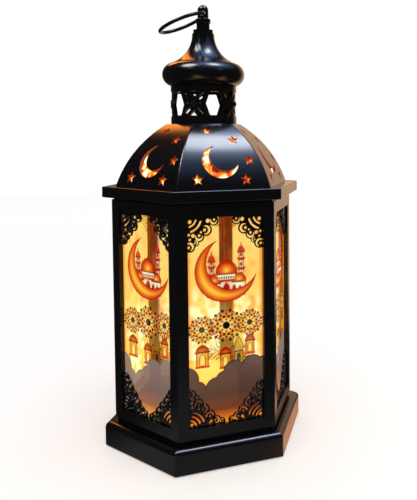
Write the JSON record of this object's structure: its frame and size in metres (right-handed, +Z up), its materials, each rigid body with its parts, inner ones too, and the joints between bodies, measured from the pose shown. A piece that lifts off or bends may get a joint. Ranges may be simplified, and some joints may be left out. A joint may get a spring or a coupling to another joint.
{
  "type": "ramadan fanous lantern",
  "caption": "Hexagonal table lantern with back-lit printed windows, fretwork corners, a pierced dome roof, an onion cap and a hanging ring.",
  "frame": {"origin": "middle of the footprint, on the surface that the rubber feet stand on", "axes": "+Z up along the lantern's axis, -Y out of the front window, two corners of the plan on the X axis"},
  "size_m": [0.1318, 0.1144, 0.2808],
  "materials": {
    "black_plastic": "satin black moulding",
    "printed_film": "printed see-through film, lit from behind",
    "amber_film": "amber film, lit from behind",
    "inner_plastic": "plain black moulding",
    "steel": "plated",
    "contact_metal": "nickel plated",
    "cell_jacket": "plain sleeve",
    "board": "white circuit board",
    "lamp_lens": "warm lamp lens",
    "frosted_plastic": "frosted",
    "red_wire": "insulated wire",
    "black_wire": "insulated wire",
    "foot_rubber": "soft pad",
    "black_metal": "black wire"
  },
  "bodies": {
    "lantern": {"base_plinth": "black_plastic", "battery_cell_1": "cell_jacket", "battery_cell_2": "cell_jacket", "battery_cell_3": "cell_jacket", "battery_contacts": "contact_metal", "battery_tray": "inner_plastic", "bottom_cover": "inner_plastic", "corner_fretwork_1": "black_plastic", "corner_fretwork_2": "black_plastic", "corner_fretwork_3": "black_plastic", "corner_fretwork_4": "black_plastic", "corner_fretwork_5": "black_plastic", "corner_fretwork_6": "black_plastic", "cover_screws": "steel", "dome_liner": "amber_film", "eave_plate": "black_plastic", "finial_eye": "black_plastic", "finial_nut": "steel", "finial_washer": "steel", "gallery_ring": "black_plastic", "lamp_board": "board", "lamp_diffuser": "frosted_plastic", "lamp_leds": "lamp_lens", "lamp_screws": "steel", "onion_cap": "black_plastic", "power_switch": "inner_plastic", "printed_panel_1": "printed_film", "printed_panel_2": "printed_film", "printed_panel_3": "printed_film", "printed_panel_4": "printed_film", "printed_panel_5": "printed_film", "printed_panel_6": "printed_film", "roof_dome": "black_plastic", "roof_screws": "steel", "rubber_feet": "foot_rubber", "side_frame_1": "black_plastic", "side_frame_2": "black_plastic", "side_frame_3": "black_plastic", "side_frame_4": "black_plastic", "side_frame_5": "black_plastic", "side_frame_6": "black_plastic", "wire_black": "black_wire", "wire_red": "red_wire", "wire_switched": "black_wire"},
    "battery_door": {"battery_door": "inner_plastic", "door_screws": "steel"},
    "switch_knob": {"switch_knob": "inner_plastic"},
    "hanging_ring": {"hanging_ring": "black_metal"}
  },
  "joints": [
    {"name": "ring_swing", "type": "hinge", "parent": "lantern", "child": "hanging_ring", "pos_m": [0, 0, 0.275], "axis": [0.342, 0.9397, 0], "range_deg": [-38, 263]},
    {"name": "battery_door_pull", "type": "slide", "parent": "lantern", "child": "battery_door", "axis": [0, 0, -1], "range_m": [0, 0.03]},
    {"name": "switch_slide", "type": "slide", "parent": "lantern", "child": "switch_knob", "axis": [0, 1, 0], "range_m": [0, 0.004]}
  ]
}
